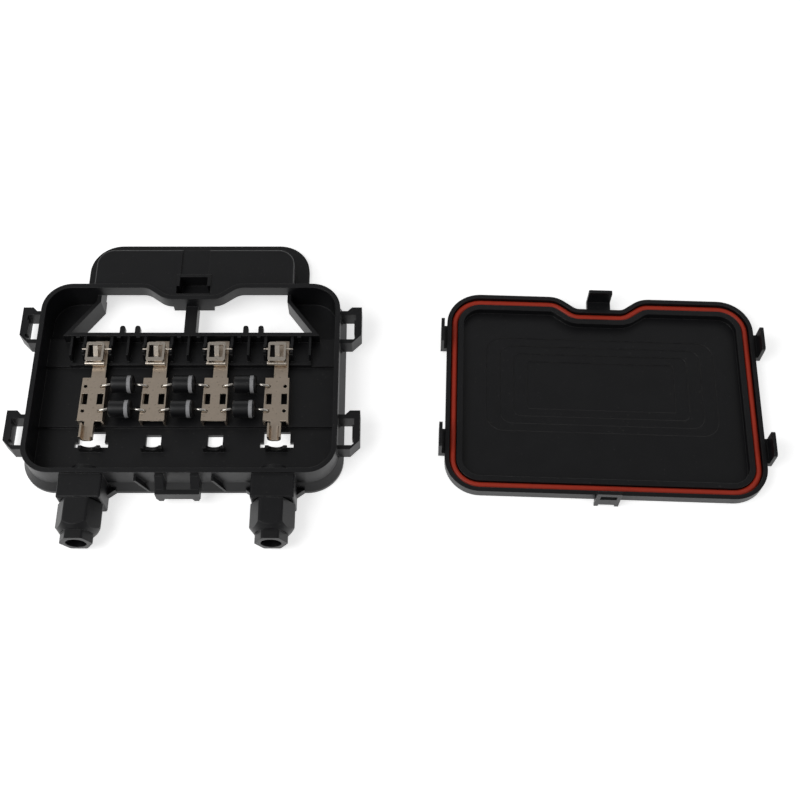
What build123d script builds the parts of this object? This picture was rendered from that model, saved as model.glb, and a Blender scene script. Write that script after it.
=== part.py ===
from build123d import *
import os
from math import atan, cos, degrees, radians, sin

# Junction box for the back of a solar panel, with its push-on lid taken off and laid beside it.
# Millimetres. The origin is the middle of the face that is glued to the panel. +Z points away
# from the panel, +Y points from the cable glands to the ribbon window.

# Seal line: the middle of the box's wall, and the middle of the lid's seal.
SEAL_WIDTH = 124.0
SEAL_DEPTH = 85.6
SEAL_CORNER = 11.2
NOTCH_DEPTH = 5.7
NOTCH_FLOOR_HALF = 11.0
NOTCH_MOUTH_HALF = 19.0
NOTCH_CORNER = 8.0

# Box walls and floor.
WALL = 2.0
BOX_HEIGHT = 16.0
FRONT_FLOOR = 2.0
MIDDLE_FLOOR = 3.2
REAR_FLOOR = 4.4
MIDDLE_STEP_Y = -17.9
REAR_STEP_Y = 9.9
FOOT_REACH = 2.2
FOOT_EDGE = 1.6
FOOT_TOP = 6.0

# Hood behind the box, where the panel's ribbons come in from below.
HOOD_WIDTH = 85.0
HOOD_BACK_Y = 62.2
HOOD_TOP = 14.4
HOOD_SHELL = 2.2
HOOD_CORNER = 7.0
HOOD_EDGE_ROUND = 0.8
HOOD_FOOT_WIDTH = 96.6
HOOD_FOOT_BACK_Y = 72.0
HOOD_FOOT_CORNER = 13.5
HOOD_FOOT_THICK = 2.4
HOOD_RECESS_HALF = 5.9
HOOD_RECESS_DEPTH = 0.7

# Window for the ribbons and the wall around it.
WINDOW_NEAR_Y = 23.2
WINDOW_NEAR_HALF = 51.0
WINDOW_FAR_Y = 38.4
WINDOW_FAR_HALF = 39.9
WINDOW_WALL = 1.6
WINDOW_WALL_TOP = 10.0
LINTEL_BOTTOM = 9.8
BAR_WIDTH = 5.0
BAR_OFFSET = -0.7
BAR_BOTTOM = 4.0
FIN_X = 26.1
FIN_HALF_GAP = 3.2
FIN_WIDTH = 2.2
FIN_ROUND = 1.0
FIN_REACH = 3.4
FIN_BOTTOM = 7.4

# Rear pocket that takes the lid's rear hook.
POCKET_HALF_WIDTH = 5.9
POCKET_SHOULDER = 1.3
POCKET_SHOULDER_Y = 43.4
POCKET_NEAR_Y = 39.8
POCKET_FAR_Y = 47.8
POCKET_FLOOR = 8.0
POCKET_WALL = 1.4
POCKET_FRAME_RISE = 0.6

# Terminals.
TERMINAL_COUNT = 4
TERMINAL_PITCH = 25.4
TERMINAL_SHIFT = -1.0
ROW_HALF_WIDTH = 50.8
RIB_HALF_GAP = 5.0
RIB_THICK = 1.2
MIDDLE_RIB_THICK = 1.0
RIB_LOW_TOP = 5.6
RIB_HIGH_TOP = 9.2
RIB_SLOPE_END_Y = 12.8
RIB_SLOPE_LENGTH = 1.0
PEG_HALF_LENGTH = 1.9
PEG_TOP = 10.7
TAB_OFFSET = 8.6
TAB_WIDTH = 1.5
TAB_DEPTH = 0.8
TAB_BOTTOM = 6.4

# Contact plates.
SHEET = 0.8
PLATE_TOP = 7.6
PLATE_BACK_Y = 2.8
PLATE_FRONT_Y = -17.0
PLATE_BACK_WIDTH = 9.9
PLATE_FRONT_WIDTH = 10.4
STRIP_WIDTH = 5.8
STRIP_OFFSET = 1.4
STRIP_BACK_Y = 20.4
SIDE_SLOT_DEPTH = 2.5
SIDE_SLOT_LENGTH = 5.0
SIDE_STRAP = 0.6
LEAD_HOLE = 1.6
LEAD_HOLE_INSET = 1.7
NECK_WIDTH = 4.0
NECK_LENGTH = 2.6
BARREL_WIDTH = 5.6
BARREL_LENGTH = 6.4
BARREL_HEIGHT = 4.2
BARREL_ROUND = 2.2

# Spring clamps.
CLAMP_WIDTH = 7.5
CLAMP_OFFSET = -0.4
CLAMP_PIVOT_Y = 15.2
CLAMP_PIVOT_Z = 9.9
CLAMP_BACK_Y = 17.9
CLAMP_FRONT_Y = 8.9
CLAMP_CORNER = 0.9
CLAMP_SIDE_INSET = 1.0
CLAMP_TOP = 11.4
CLAMP_SIDE_BOTTOM = 8.2
CLAMP_WINDOW_WIDTH = 5.7
CLAMP_WINDOW_LENGTH = 5.9
CLAMP_WINDOW_INSET = 1.7
CLAMP_LIP_DIAMETER = 1.9
CLAMP_LIP_WIDTH = 8.0
CLAMP_LIP_Z = 9.0
CLAMP_TONGUE_WIDTH = 1.9
CLAMP_TONGUE_REACH = 2.0
CLAMP_TONGUE_HEEL = 0.6
PIVOT_PIN = 1.0
PIVOT_FIT = 0.1

# Bypass diodes.
DIODE_DIAMETER = 7.4
DIODE_LENGTH = 9.0
DIODE_SIDE_SHIFT = 0.2
DIODE_EDGE_ROUND = 0.5
LEAD_DIAMETER = 1.2
LEAD_BEND = 0.8
LEAD_ELBOW_RISE = 0.8
DIODE_AXIS_Z = 9.4
DIODE_BACK_INSET = 4.0
DIODE_FRONT_INSET = 4.4

# Cable glands.
GLAND_X = 38.0
GLAND_Z = 8.6
BLOCK_WIDTH = 17.4
BLOCK_TOP = 15.0
BLOCK_FRONT_Y = -54.0
BLOCK_ROUND = 0.8
GUSSET_REACH = 3.2
GUSSET_DEPTH = 2.4
GUSSET_TOP = 3.6
SPIGOT_DIAMETER = 13.0
SPIGOT_BORE = 12.0
SPIGOT_LENGTH = 6.6
CABLE_BORE = 6.8
BOSS_DIAMETER = 10.6
BOSS_LENGTH = 2.6
NUT_SIDE = 9.1
NUT_CORNER = 1.0
NUT_BODY_LENGTH = 9.6
NUT_TAPER_LENGTH = 3.0
NUT_END_SIDE = 6.7
NUT_END_LENGTH = 3.6
NUT_HOLE = 8.3
NUT_GAP = 0.5
NUT_FIT = 0.1
SLEEVE_DIAMETER = 9.2
SLEEVE_BORE = 6.2
SLEEVE_LENGTH = 11.0
RING_CLEARANCE = 0.3
RING_LENGTH = 10.0
RING_SLOTS = 6
RING_SLOT_WIDTH = 1.2
RING_SLOT_LENGTH = 5.0

# Side loops and front bail that the lid's hooks drop into.
CATCH_REAR_Y = 25.0
CATCH_FRONT_Y = -24.0
LOOP_OPENING_LENGTH = 12.0
LOOP_OPENING_REACH = 6.6
LOOP_BAR = 2.4
LOOP_ARM = 1.8
LOOP_INNER_CORNER = 1.0
LOOP_CHAMFER = 4.0
LOOP_NUB = 1.8
LOOP_NUB_WIDTH = 4.2
LOOP_TOP = 11.7
LOOP_BOTTOM = 4.0
LOOP_TOOTH = 0.7
LOOP_TOOTH_LENGTH = 6.4
BAIL_INNER_HALF = 5.3
BAIL_ARM = 3.5
BAIL_BAR_INNER = 5.3
BAIL_BAR_THICK = 2.0
BAIL_BAR_TOP = 11.0
BAIL_BAR_BOTTOM = 6.0
BAIL_FOOT_BOTTOM = 4.0
BAIL_FOOT_WIDTH = 1.75
BAIL_ARM_TOP = 14.6
BAIL_ARM_FLAT = 1.0
STRUT_X = 15.4
STRUT_THICK = 1.0
STRUT_LEAN = 4.0
STRUT_TOP = 12.6

# Holes through the floor and cable saddles in front of them.
HOLE_SHIFT = -0.5
HOLE_FRONT_Y = -26.6
HOLE_LENGTH = 5.6
HOLE_WIDTH = 6.2
WIDE_HOLE_LENGTH = 7.0
WIDE_HOLE_WIDTH = 10.8
HOLE_NOTCH_LENGTH = 2.2
HOLE_NOTCH_WIDTH = 13.8
SADDLE_WIDTH = 9.0
SADDLE_THICK = 1.4
SADDLE_HEIGHT = 3.6
SADDLE_GAP = 0.6
SADDLE_NOTCH_RISE = 1.4

# Lid, drawn lying on its outer face.
LID_PANEL = 1.8
LID_SKIRT_REACH = 3.3
LID_GROOVE_HALF = 1.5
LID_SKIRT_TOP = 5.4
LID_INNER_WALL = 2.3
LID_INNER_TOP = 5.0
LID_EDGE_ROUND = 1.0
LID_STEP = 0.25
LID_STEP_COUNT = 4
LID_STEP_WIDTH = 96.4
LID_STEP_DEPTH = 44.0
LID_STEP_INSET = 3.6
LID_STEP_SIDE_RATIO = 1.6
LID_STEP_CORNER_LOSS = 2.0
LID_STEP_CORNER = 7.0
LID_STEP_CENTRE_Y = 5.0
SEAL_DIAMETER = 2.8
HOOK_LENGTH = 11.0
HOOK_GAP = 1.2
HOOK_THICK = 1.4
HOOK_TOP = 12.0
HOOK_BOTTOM = 1.6
HOOK_NECK_TOP = 4.4
HOOK_ROUND = 1.2
REAR_HOOK_GAP = 4.2
REAR_HOOK_LENGTH = 10.0
FRONT_HOOK_LENGTH = 9.8
FRONT_HOOK_FOOT = 1.6
FRONT_HOOK_SLOT = 6.6
FRONT_HOOK_SLOT_BOTTOM = 6.6
FRONT_HOOK_SLOT_TOP = 9.6

# Place of the lid beside the box: it turns over like a page about an upright plane between them.
LID_TURN = 2.0
LID_HINGE_REACH = 86.35

# Joined solids reach this far into each other, and cuts reach past every face by the tall length.
OVERLAP = 0.5
TALL = 40.0
HALF_LIP = WALL / 2
BLOCK_BACK_Y = -SEAL_DEPTH / 2
EVEN_XS = [(i - (TERMINAL_COUNT - 1) / 2) * TERMINAL_PITCH for i in range(TERMINAL_COUNT)]
HOLE_XS = [x + HOLE_SHIFT for x in EVEN_XS]
TERMINAL_XS = [x + TERMINAL_SHIFT for x in EVEN_XS]
GLAND_XS = {"left": -GLAND_X, "right": GLAND_X}


# Plan outlines.

def grown(corners, growth):
    """Corners of a closed anticlockwise outline, each edge moved outwards by growth."""
    moved = []
    count = len(corners)
    for i, (x, y) in enumerate(corners):
        before = Vector(x - corners[i - 1][0], y - corners[i - 1][1]).normalized()
        after = Vector(corners[(i + 1) % count][0] - x, corners[(i + 1) % count][1] - y).normalized()
        normal_a = Vector(before.Y, -before.X)
        normal_b = Vector(after.Y, -after.X)
        shift = (normal_a + normal_b) * (growth / (1 + normal_a.dot(normal_b)))
        moved.append((x + shift.X, y + shift.Y))
    return moved


def rounded(face, corners, radius):
    """The face with its corners nearest to the given points rounded."""
    chosen = [face.vertices().sort_by_distance(Vector(*corner))[0] for corner in corners]
    return fillet(chosen, radius)


def seal_outline(growth):
    """Area inside the seal line, moved outwards by growth, with the notch at the rear."""
    half_width = SEAL_WIDTH / 2
    half_depth = SEAL_DEPTH / 2
    floor_y = half_depth - NOTCH_DEPTH
    line = [
        (-half_width, -half_depth),
        (half_width, -half_depth),
        (half_width, half_depth),
        (NOTCH_MOUTH_HALF, half_depth),
        (NOTCH_FLOOR_HALF, floor_y),
        (-NOTCH_FLOOR_HALF, floor_y),
        (-NOTCH_MOUTH_HALF, half_depth),
        (-half_width, half_depth),
    ]
    corners = grown(line, growth)
    face = make_face(Polyline(*corners, close=True))
    face = rounded(face, [corners[i] for i in (0, 1, 2, 7)], SEAL_CORNER + growth)
    face = rounded(face, [corners[i] for i in (3, 6)], NOTCH_CORNER + growth)
    return rounded(face, [corners[i] for i in (4, 5)], NOTCH_CORNER - growth)


def window_outline(growth):
    """Area of the ribbon window, moved outwards by growth, open towards the hood."""
    far_y = HOOD_BACK_Y - HOOD_SHELL
    line = [
        (-WINDOW_NEAR_HALF, WINDOW_NEAR_Y),
        (WINDOW_NEAR_HALF, WINDOW_NEAR_Y),
        (WINDOW_FAR_HALF, WINDOW_FAR_Y),
        (WINDOW_FAR_HALF, far_y),
        (-WINDOW_FAR_HALF, far_y),
        (-WINDOW_FAR_HALF, WINDOW_FAR_Y),
    ]
    return make_face(Polyline(*grown(line, growth), close=True))


def prism(face, bottom, top):
    """The face raised into a solid from one height to another."""
    return extrude(Pos(0, 0, bottom) * face, top - bottom)


def block(x0, x1, y0, y1, z0, z1):
    """A box given by its faces."""
    return Pos((x0 + x1) / 2, (y0 + y1) / 2, (z0 + z1) / 2) * Box(x1 - x0, y1 - y0, z1 - z0)


def tube_along_y(x, z, diameter, front, back):
    """A round bar along Y between two faces."""
    bar = Rot(90, 0, 0) * Cylinder(diameter / 2, back - front)
    return Pos(x, (front + back) / 2, z) * bar


def bar_along_x(x0, x1, y, z, diameter):
    """A round bar along X between two faces."""
    return Pos((x0 + x1) / 2, y, z) * (Rot(0, 90, 0) * Cylinder(diameter / 2, x1 - x0))


def profile_x(points, x0, x1):
    """A solid with the given (y, z) outline, between two X faces."""
    plane = Plane(origin=(x0, 0, 0), x_dir=(0, 1, 0), z_dir=(1, 0, 0))
    return extrude(plane * make_face(Polyline(*points, close=True)), x1 - x0)


# Box.

def foot():
    """The sloping foot around the box and the flat one around the hood."""
    edge = seal_outline(HALF_LIP + FOOT_REACH)
    slope = degrees(atan(FOOT_REACH / (FOOT_TOP - FOOT_EDGE)))
    body = prism(edge, 0, FOOT_EDGE)
    body += extrude(Pos(0, 0, FOOT_EDGE) * edge, FOOT_TOP - FOOT_EDGE, taper=slope)
    half = HOOD_FOOT_WIDTH / 2
    corners = [(-half, 0), (half, 0), (half, HOOD_FOOT_BACK_Y), (-half, HOOD_FOOT_BACK_Y)]
    plate = rounded(make_face(Polyline(*corners, close=True)), corners[2:], HOOD_FOOT_CORNER)
    return body + prism(plate, 0, HOOD_FOOT_THICK)


def hood_outline(shrink):
    """The hood's plan shape, moved inwards by shrink."""
    half = HOOD_WIDTH / 2 - shrink
    back = HOOD_BACK_Y - shrink
    corners = [(-half, WINDOW_FAR_Y), (half, WINDOW_FAR_Y), (half, back), (-half, back)]
    return rounded(make_face(Polyline(*corners, close=True)), corners[2:], HOOD_CORNER - shrink)


def hood():
    """Solid hood with a softened upper edge."""
    body = prism(hood_outline(0), 0, HOOD_TOP)
    top_edges = body.faces().sort_by(Axis.Z)[-1].edges()
    rim = [edge for edge in top_edges if edge.center().Y > WINDOW_FAR_Y + OVERLAP]
    return fillet(rim, HOOD_EDGE_ROUND)


def side_loop(side, y):
    """A loop on a side wall: side is -1 for the left wall and 1 for the right."""
    half = LOOP_OPENING_LENGTH / 2
    bar = LOOP_OPENING_REACH
    reach = bar + LOOP_BAR
    end = half + LOOP_ARM
    nub = reach - LOOP_NUB_WIDTH
    outer = [
        (-HALF_LIP, -end), (reach - LOOP_CHAMFER, -end), (reach, LOOP_CHAMFER - end),
        (reach, end + LOOP_NUB), (nub, end + LOOP_NUB), (nub - LOOP_NUB, end), (-HALF_LIP, end),
    ]
    corner = LOOP_INNER_CORNER
    inner = [(0, -half), (bar - corner, -half), (bar, corner - half), (bar, half), (0, half)]
    loop = prism(make_face(Polyline(*outer, close=True)), LOOP_BOTTOM, LOOP_TOP)
    loop -= prism(make_face(Polyline(*inner, close=True)), -TALL, TALL)
    tooth_half = LOOP_TOOTH_LENGTH / 2
    tooth_z = (LOOP_BOTTOM + LOOP_TOP) / 2
    loop += block(bar - LOOP_TOOTH, bar + OVERLAP, -tooth_half, tooth_half, tooth_z, LOOP_TOP)
    if side < 0:
        loop = mirror(loop, Plane.YZ)
    return Pos(side * (SEAL_WIDTH / 2 + HALF_LIP), y, 0) * loop


def front_bail():
    """The catch on the front wall: two arms, a cross bar and a foot under each end."""
    wall_y = -SEAL_DEPTH / 2 - HALF_LIP
    bar_back = wall_y - BAIL_BAR_INNER
    bar_front = bar_back - BAIL_BAR_THICK
    outer = BAIL_INNER_HALF + BAIL_ARM
    arm = [
        (wall_y + OVERLAP, BAIL_BAR_BOTTOM), (wall_y + OVERLAP, BAIL_ARM_TOP),
        (wall_y - BAIL_ARM_FLAT, BAIL_ARM_TOP), (bar_back, BAIL_BAR_TOP), (bar_front, BAIL_BAR_TOP),
        (bar_front, BAIL_BAR_BOTTOM),
    ]
    bail = profile_x(arm, -outer, -BAIL_INNER_HALF) + profile_x(arm, BAIL_INNER_HALF, outer)
    bail += block(-outer, outer, bar_front, bar_back, BAIL_BAR_BOTTOM, BAIL_BAR_TOP)
    for side in (-1, 1):
        middle = side * (outer - BAIL_ARM / 2)
        root = BAIL_BAR_BOTTOM + OVERLAP
        ends = [
            (middle - BAIL_ARM / 2, root), (middle - BAIL_FOOT_WIDTH / 2, BAIL_FOOT_BOTTOM),
            (middle + BAIL_FOOT_WIDTH / 2, BAIL_FOOT_BOTTOM), (middle + BAIL_ARM / 2, root),
        ]
        plane = Plane(origin=(0, bar_back, 0), x_dir=(1, 0, 0), z_dir=(0, -1, 0))
        bail += extrude(plane * make_face(Polyline(*ends, close=True)), BAIL_BAR_THICK)
    return bail


def front_strut(side):
    """A thin slanting rib between the front wall and the foot."""
    wall_y = -SEAL_DEPTH / 2
    foot_y = wall_y - HALF_LIP - FOOT_REACH
    bottom = side * STRUT_X + STRUT_LEAN / 2
    top = bottom - STRUT_LEAN
    ends = [
        (bottom, FOOT_EDGE), (bottom + STRUT_THICK, FOOT_EDGE),
        (top + STRUT_THICK, STRUT_TOP), (top, STRUT_TOP),
    ]
    plane = Plane(origin=(0, wall_y, 0), x_dir=(1, 0, 0), z_dir=(0, -1, 0))
    return extrude(plane * make_face(Polyline(*ends, close=True)), wall_y - foot_y)


def gland_block(x):
    """The block on the front wall that carries a gland, with a gusset at each side."""
    half = BLOCK_WIDTH / 2
    body = block(x - half, x + half, BLOCK_FRONT_Y, BLOCK_BACK_Y, 0, BLOCK_TOP)
    body = fillet(body.faces().sort_by(Axis.Y)[0].edges().filter_by(Axis.Z), BLOCK_ROUND)
    body = fillet(body.edges().filter_by(Axis.Y).group_by(Axis.Z)[-1], BLOCK_ROUND)
    foot_y = BLOCK_BACK_Y - HALF_LIP - FOOT_REACH
    wing = half + GUSSET_REACH
    tip_y = foot_y - GUSSET_DEPTH
    gusset = [
        (x - half, foot_y), (x - wing, foot_y), (x - half, tip_y),
        (x + half, tip_y), (x + wing, foot_y), (x + half, foot_y),
    ]
    body += prism(make_face(Polyline(*gusset, close=True)), 0, GUSSET_TOP)
    spigot_front = BLOCK_FRONT_Y - SPIGOT_LENGTH
    body += tube_along_y(x, GLAND_Z, SPIGOT_DIAMETER, spigot_front, BLOCK_FRONT_Y + OVERLAP)
    inner_face = BLOCK_BACK_Y + HALF_LIP
    body += tube_along_y(x, GLAND_Z, BOSS_DIAMETER, BLOCK_BACK_Y, inner_face + BOSS_LENGTH)
    return body


def gland_bores(x):
    """Space for the cable through a gland block, wider in the spigot for the sleeve."""
    front = BLOCK_FRONT_Y - SPIGOT_LENGTH - OVERLAP
    back = BLOCK_BACK_Y + HALF_LIP + BOSS_LENGTH + OVERLAP
    cut = tube_along_y(x, GLAND_Z, CABLE_BORE, front, back)
    return cut + tube_along_y(x, GLAND_Z, SPIGOT_BORE, front, BLOCK_FRONT_Y)


def floors():
    """Two raised steps of the floor, wall to wall, towards the ribbon window."""
    reach = SEAL_WIDTH / 2
    steps = block(-reach, reach, MIDDLE_STEP_Y, WINDOW_NEAR_Y, 0, MIDDLE_FLOOR)
    steps += block(-reach, reach, REAR_STEP_Y, WINDOW_NEAR_Y, 0, REAR_FLOOR)
    return steps & prism(seal_outline(0), 0, TALL)


def terminal_rib(x, thick):
    """A rib of the terminal row, low at the front and high at the window wall."""
    back = WINDOW_NEAR_Y - WINDOW_WALL / 2
    slope_start = RIB_SLOPE_END_Y - RIB_SLOPE_LENGTH
    points = [
        (REAR_STEP_Y, FRONT_FLOOR), (REAR_STEP_Y, RIB_LOW_TOP), (slope_start, RIB_LOW_TOP),
        (RIB_SLOPE_END_Y, RIB_HIGH_TOP), (back, RIB_HIGH_TOP), (back, FRONT_FLOOR),
    ]
    return profile_x(points, x - thick / 2, x + thick / 2)


def terminal_row():
    """Ribs between the terminals, with forked pegs that carry the clamps' pins."""
    end = ROW_HALF_WIDTH
    row = block(-end, end, REAR_STEP_Y, REAR_STEP_Y + RIB_THICK, 0, RIB_LOW_TOP)
    end -= MIDDLE_RIB_THICK / 2
    for x in [-end, end] + [terminal + TERMINAL_PITCH / 2 for terminal in TERMINAL_XS[:-1]]:
        row += terminal_rib(x, MIDDLE_RIB_THICK)
    for x in TERMINAL_XS:
        for side in (-1, 1):
            rib_x = x + side * (RIB_HALF_GAP + RIB_THICK / 2)
            row += terminal_rib(rib_x, RIB_THICK)
            row += block(
                rib_x - RIB_THICK / 2, rib_x + RIB_THICK / 2, CLAMP_PIVOT_Y - PEG_HALF_LENGTH,
                CLAMP_PIVOT_Y + PEG_HALF_LENGTH, RIB_HIGH_TOP - OVERLAP, PEG_TOP,
            )
            tab_x = x + side * TAB_OFFSET
            tab_back = WINDOW_NEAR_Y - WINDOW_WALL
            row += block(
                tab_x - TAB_WIDTH / 2, tab_x + TAB_WIDTH / 2, tab_back - TAB_DEPTH, tab_back + OVERLAP,
                TAB_BOTTOM, WINDOW_WALL_TOP,
            )
    return row


def pin_slots():
    """Slots in the pegs, open at the top, for the clamps' pins."""
    slot = PIVOT_PIN + 2 * PIVOT_FIT
    cut = None
    for x in TERMINAL_XS:
        reach = RIB_HALF_GAP + RIB_THICK + OVERLAP
        groove = bar_along_x(x - reach, x + reach, CLAMP_PIVOT_Y, CLAMP_PIVOT_Z, slot)
        groove += block(
            x - reach, x + reach, CLAMP_PIVOT_Y - slot / 2, CLAMP_PIVOT_Y + slot / 2,
            CLAMP_PIVOT_Z, PEG_TOP + OVERLAP,
        )
        cut = groove if cut is None else cut + groove
    return cut


def window_wall():
    """Low wall around the ribbon window, its middle bar and the ribbon guide fins."""
    ring = window_outline(WINDOW_WALL) - window_outline(0)
    rear_half = Pos(0, SEAL_DEPTH / 2) * Rectangle(2 * SEAL_WIDTH, SEAL_DEPTH)
    wall = prism(ring & seal_outline(0) & rear_half, 0, WINDOW_WALL_TOP)
    bar_back = SEAL_DEPTH / 2 - NOTCH_DEPTH
    left = BAR_OFFSET - BAR_WIDTH / 2
    wall += block(
        left, left + BAR_WIDTH, WINDOW_NEAR_Y - OVERLAP, bar_back, BAR_BOTTOM, WINDOW_WALL_TOP,
    )
    fin_length = FIN_REACH + WINDOW_WALL
    for middle in (-FIN_X, FIN_X):
        for x in (middle - FIN_HALF_GAP, middle + FIN_HALF_GAP):
            fin = block(
                x - FIN_WIDTH / 2, x + FIN_WIDTH / 2, WINDOW_NEAR_Y + FIN_REACH - fin_length,
                WINDOW_NEAR_Y + FIN_REACH, FIN_BOTTOM, WINDOW_WALL_TOP,
            )
            tip_edges = fin.edges().filter_by(Axis.Z).group_by(Axis.Y)[-1]
            wall += fillet(tip_edges, FIN_ROUND)
    return wall


def rear_pocket():
    """Walls and floor of the pocket that takes the lid's rear hook, and the frame around its back."""
    half = POCKET_HALF_WIDTH + POCKET_SHOULDER + POCKET_WALL
    near = SEAL_DEPTH / 2 - NOTCH_DEPTH - HALF_LIP
    far = POCKET_FAR_Y + POCKET_WALL
    bottom = POCKET_FLOOR - POCKET_WALL
    body = block(-half, half, near, far, bottom, HOOD_TOP - OVERLAP)
    half = POCKET_HALF_WIDTH + POCKET_WALL
    return body + block(-half, half, POCKET_SHOULDER_Y, far, bottom, HOOD_TOP + POCKET_FRAME_RISE)


def pocket_room():
    """Space in the rear pocket, wider in its front half."""
    half = POCKET_HALF_WIDTH
    room = block(-half, half, POCKET_NEAR_Y, POCKET_FAR_Y, POCKET_FLOOR, TALL)
    half += POCKET_SHOULDER
    return room + block(-half, half, POCKET_NEAR_Y, POCKET_SHOULDER_Y, POCKET_FLOOR, TALL)


def cable_saddle(x):
    """A half-round rest for the cable's conductor, behind the hole under a crimp."""
    half = SADDLE_WIDTH / 2
    back = HOLE_FRONT_Y - SADDLE_GAP
    top = FRONT_FLOOR + SADDLE_HEIGHT
    rest = block(x - half, x + half, back - SADDLE_THICK, back, FRONT_FLOOR - OVERLAP, top)
    return rest - tube_along_y(x, top + SADDLE_NOTCH_RISE, CABLE_BORE, back - TALL, back + TALL)


def floor_hole(x, width, length):
    """A rectangular hole through the floor, from the common front line."""
    half = width / 2
    return block(x - half, x + half, HOLE_FRONT_Y, HOLE_FRONT_Y + length, -TALL, FRONT_FLOOR + OVERLAP)


def base_housing():
    """The box in one moulding."""
    body = foot() + hood() + prism(seal_outline(HALF_LIP), 0, BOX_HEIGHT)
    for x in GLAND_XS.values():
        body += gland_block(x)
    body -= prism(seal_outline(-HALF_LIP), FRONT_FLOOR, TALL)
    for x in GLAND_XS.values():
        inner_face = BLOCK_BACK_Y + HALF_LIP
        body += tube_along_y(x, GLAND_Z, BOSS_DIAMETER, inner_face - OVERLAP, inner_face + BOSS_LENGTH)
    body += floors()
    cavity = prism(hood_outline(HOOD_SHELL), -TALL, HOOD_TOP - HOOD_SHELL)
    body -= cavity - prism(seal_outline(HALF_LIP), -2 * TALL, TALL)
    body -= prism(window_outline(0), -TALL, LINTEL_BOTTOM)
    recess = HOOD_RECESS_HALF
    body -= block(-recess, recess, POCKET_FAR_Y, HOOD_FOOT_BACK_Y, HOOD_TOP - HOOD_RECESS_DEPTH, TALL)
    body += terminal_row() + window_wall() + rear_pocket()
    body -= pocket_room()
    body -= pin_slots()
    for x in HOLE_XS:
        body += cable_saddle(x)
    for x in HOLE_XS[1:-1]:
        body -= floor_hole(x, HOLE_WIDTH, HOLE_LENGTH)
    for x in (HOLE_XS[0], HOLE_XS[-1]):
        body -= floor_hole(x, WIDE_HOLE_WIDTH, WIDE_HOLE_LENGTH)
        body -= floor_hole(x, HOLE_NOTCH_WIDTH, HOLE_NOTCH_LENGTH)
    for x in GLAND_XS.values():
        body -= gland_bores(x)
    for side in (-1, 1):
        body += side_loop(side, CATCH_REAR_Y) + side_loop(side, CATCH_FRONT_Y)
        body += front_strut(side)
    return body + front_bail()


# Metal parts.

def contact_plate(x, with_crimp):
    """A folded sheet: a raised table on two side folds, a strip under the clamp, a crimp if asked."""
    bottom = PLATE_TOP - SHEET
    back = PLATE_BACK_WIDTH / 2
    front = PLATE_FRONT_WIDTH / 2
    table = make_face(Polyline(
        (x - front, PLATE_FRONT_Y), (x + front, PLATE_FRONT_Y),
        (x + back, PLATE_BACK_Y), (x - back, PLATE_BACK_Y), close=True))
    plate = prism(table, bottom, PLATE_TOP)
    for side in (-1, 1):
        plate += folded_side(x, side)
    middle_y = (PLATE_BACK_Y + PLATE_FRONT_Y) / 2
    slot_half = SIDE_SLOT_LENGTH / 2
    for side in (-1, 1):
        edge = x + side * (back + front) / 2 - side * SIDE_STRAP
        near, far = sorted((edge, edge - side * SIDE_SLOT_DEPTH))
        plate -= block(near, far, middle_y - slot_half, middle_y + slot_half, bottom - OVERLAP, TALL)
        for y in diode_rows():
            plate -= Pos(lead_hole_x(x, side), y, PLATE_TOP) * Cylinder(LEAD_HOLE / 2, 4 * SHEET)
    strip_x = x + STRIP_OFFSET
    plate += block(strip_x - STRIP_WIDTH / 2, strip_x + STRIP_WIDTH / 2, PLATE_BACK_Y - OVERLAP,
                   STRIP_BACK_Y, bottom, PLATE_TOP)
    if with_crimp:
        plate += crimp(x)
    return plate


def folded_side(x, side):
    """A side fold that stands on the middle floor, short of the lead holes' bends."""
    back = PLATE_BACK_WIDTH / 2
    front = PLATE_FRONT_WIDTH / 2
    outer = [(x + side * front, PLATE_FRONT_Y), (x + side * back, PLATE_BACK_Y)]
    inner = [(x + side * (back - SHEET), PLATE_BACK_Y), (x + side * (front - SHEET), PLATE_FRONT_Y)]
    return prism(make_face(Polyline(*(outer + inner), close=True)), MIDDLE_FLOOR, PLATE_TOP)


def diode_rows():
    """Y of the two rows of diodes."""
    return (PLATE_BACK_Y - DIODE_BACK_INSET, PLATE_FRONT_Y + DIODE_FRONT_INSET)


def lead_hole_x(x, side):
    """X of a lead's hole in a contact plate at x, on one side."""
    mean_half = (PLATE_BACK_WIDTH + PLATE_FRONT_WIDTH) / 4
    return x + side * (mean_half - LEAD_HOLE_INSET)


def crimp(x):
    """An open U-shaped barrel for the cable's conductor, with its neck."""
    neck_front = PLATE_FRONT_Y - NECK_LENGTH
    bottom = PLATE_TOP - SHEET
    neck = block(x - NECK_WIDTH / 2, x + NECK_WIDTH / 2, neck_front - OVERLAP, PLATE_FRONT_Y + OVERLAP,
                 bottom, PLATE_TOP)
    front = neck_front - BARREL_LENGTH
    half = BARREL_WIDTH / 2
    top = bottom + BARREL_HEIGHT
    shell = block(x - half, x + half, front, neck_front, bottom, top)
    shell = fillet(shell.edges().filter_by(Axis.Y).group_by(Axis.Z)[0], BARREL_ROUND)
    half -= SHEET
    room = block(x - half, x + half, front - OVERLAP, neck_front + OVERLAP, PLATE_TOP, top + OVERLAP)
    room = fillet(room.edges().filter_by(Axis.Y).group_by(Axis.Z)[0], BARREL_ROUND - SHEET)
    return neck + (shell - room)


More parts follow.
